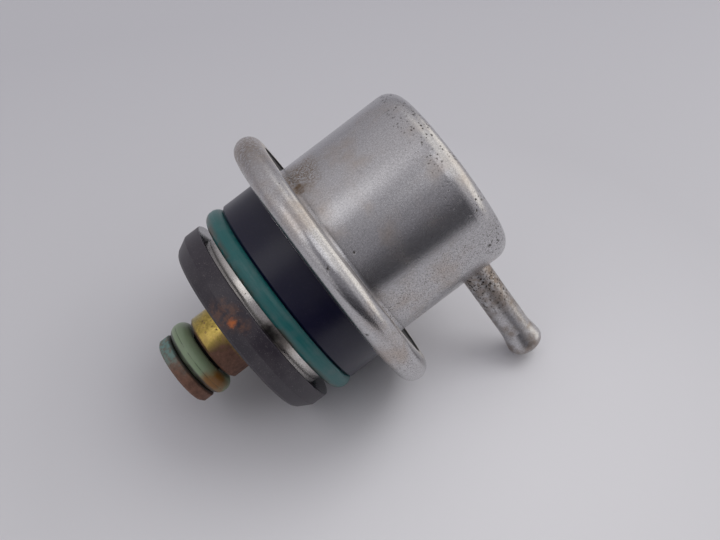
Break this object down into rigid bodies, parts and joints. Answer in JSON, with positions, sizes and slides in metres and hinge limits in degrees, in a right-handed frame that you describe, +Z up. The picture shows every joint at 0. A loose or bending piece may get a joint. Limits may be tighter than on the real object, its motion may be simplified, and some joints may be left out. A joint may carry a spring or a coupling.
{
  "type": "fuel pressure regulator",
  "caption": "Fuel rail pressure regulator: drawn steel spring housing with side vacuum nipple, crimped flange, sealed spigot with strainer, brass return tube and a spring-loaded diaphragm valve.",
  "frame": {"origin": "on the regulator's axis, in the plane of the flange's rail face", "axes": "+X along the axis towards the closed end of the spring housing, -X towards the return tube, +Z up with the regulator lying level"},
  "size_m": [0.0403, 0.035, 0.0402],
  "materials": {
    "stainless": "satin drawn stainless with faint stains and pits",
    "nipple_steel": "satin steel, speckled with corrosion",
    "rim_steel": "satin drawn stainless",
    "support_plastic": "matte moulded black",
    "rail_rubber": "smooth teal rubber",
    "strainer_plastic": "matte moulded black, stained",
    "screen": "fine woven screen",
    "brass": "turned brass with brown tarnish",
    "return_rubber": "sage green rubber, stained",
    "diaphragm_rubber": "cloth-reinforced rubber",
    "plated_steel": "zinc plated",
    "turned_steel": "turned",
    "ball_steel": "ground and polished",
    "spring_steel": "drawn wire, dark"
  },
  "bodies": {
    "housing": {"spring_housing": "stainless", "vacuum_nipple": "nipple_steel", "lower_housing": "rim_steel", "support_ring": "support_plastic", "rail_seal": "rail_rubber", "strainer_frame": "strainer_plastic", "strainer_screen": "screen", "return_tube": "brass", "return_seal": "return_rubber", "diaphragm": "diaphragm_rubber", "pressure_spring": "spring_steel"},
    "valve": {"spring_seat": "plated_steel", "valve_holder": "turned_steel", "valve_ball": "ball_steel", "ball_retainer": "plated_steel", "valve_plate": "turned_steel"}
  },
  "joints": [
    {"name": "valve_lift", "type": "slide", "parent": "housing", "child": "valve", "axis": [1, 0, 0], "range_m": [0, 0.0008], "stiffness_N_per_m": 9600, "springref_m": -0.0115, "deforming": ["pressure_spring", "diaphragm"]}
  ]
}
